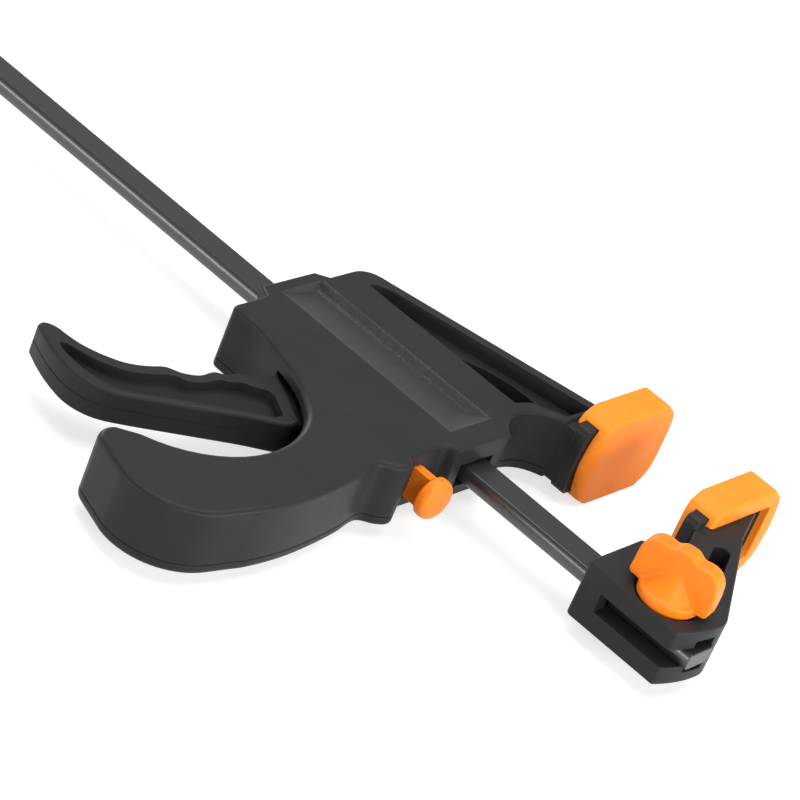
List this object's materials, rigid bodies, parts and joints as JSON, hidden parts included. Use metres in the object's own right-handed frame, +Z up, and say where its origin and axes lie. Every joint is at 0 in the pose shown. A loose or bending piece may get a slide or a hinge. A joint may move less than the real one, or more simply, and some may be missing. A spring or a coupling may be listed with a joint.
{
  "type": "quick release bar clamp",
  "caption": "One-handed bar clamp: a sliding head with trigger, grip and release button, and a fixed jaw with wing knob, on a flat steel bar.",
  "frame": {"origin": "centre of the fixed jaw's clamping face", "axes": "+X along the bar from the moving jaw towards the fixed jaw, +Y from the bar towards the jaw tips, +Z up through the clamp's thickness as it lies on its side"},
  "size_m": [0.34, 0.1854, 0.0389],
  "materials": {
    "bar_steel": "black oxide, satin",
    "bright_steel": "plain",
    "plate_steel": "hardened, ground",
    "spring_steel": "drawn wire",
    "black_nylon": "fine moulded grain, satin",
    "orange_pad": "soft plastic, satin",
    "orange_plastic": "moulded, satin gloss"
  },
  "bodies": {
    "bar": {"bar": "bar_steel", "bar_stop_pin": "bright_steel", "fixed_jaw": "black_nylon", "fixed_pad": "orange_pad", "knob_nut": "bright_steel"},
    "stud": {"knob_screw": "bright_steel"},
    "knob": {"wing_knob": "orange_plastic"},
    "head": {"housing_shell": "black_nylon", "housing_cover": "black_nylon", "cover_screws": "bright_steel", "moving_pad": "orange_pad", "trigger_pin": "bright_steel", "drive_spring": "spring_steel", "brake_spring": "spring_steel"},
    "trigger": {"trigger": "black_nylon"},
    "drive": {"drive_plate_front": "plate_steel", "drive_plate_rear": "plate_steel"},
    "release": {"release_button": "orange_plastic"},
    "brake": {"brake_plate": "plate_steel"}
  },
  "joints": [
    {"name": "head_slide", "type": "slide", "parent": "bar", "child": "head", "axis": [1, 0, 0], "range_m": [-0.17, 0.03]},
    {"name": "knob_lift", "type": "slide", "parent": "bar", "child": "stud", "axis": [0, 0, 1], "range_m": [0, 0.0112]},
    {"name": "knob_turn", "type": "hinge", "parent": "stud", "child": "knob", "pos_m": [0.0246, -0.054, 0], "axis": [0, 0, 1], "range_deg": [0, 5041]},
    {"name": "trigger_swing", "type": "hinge", "parent": "head", "child": "trigger", "pos_m": [-0.0823, -0.076, 0], "axis": [0, 0, 1], "range_deg": [0, 18], "stiffness_Nm_per_rad": 0.3, "springref_deg": -22.92},
    {"name": "drive_push", "type": "slide", "parent": "head", "child": "drive", "axis": [1, 0, 0], "range_m": [-0.00407, 0], "deforming": ["drive_spring"]},
    {"name": "release_press", "type": "slide", "parent": "head", "child": "release", "axis": [1, 0, 0], "range_m": [-0.004, 0], "stiffness_N_per_m": 400, "springref_m": 0.006},
    {"name": "brake_tilt", "type": "hinge", "parent": "head", "child": "brake", "pos_m": [-0.057, -0.041, 0], "axis": [0, 0, 1], "range_deg": [-6.66, 0], "deforming": ["brake_spring"]}
  ],
  "couplings": [
    {"joint": "drive_push", "follows": "trigger_swing", "m_per_rad": -0.012947},
    {"joint": "brake_tilt", "follows": "release_press", "rad_per_m": 29.051},
    {"joint": "knob_turn", "follows": "knob_lift", "rad_per_m": 7854}
  ]
}
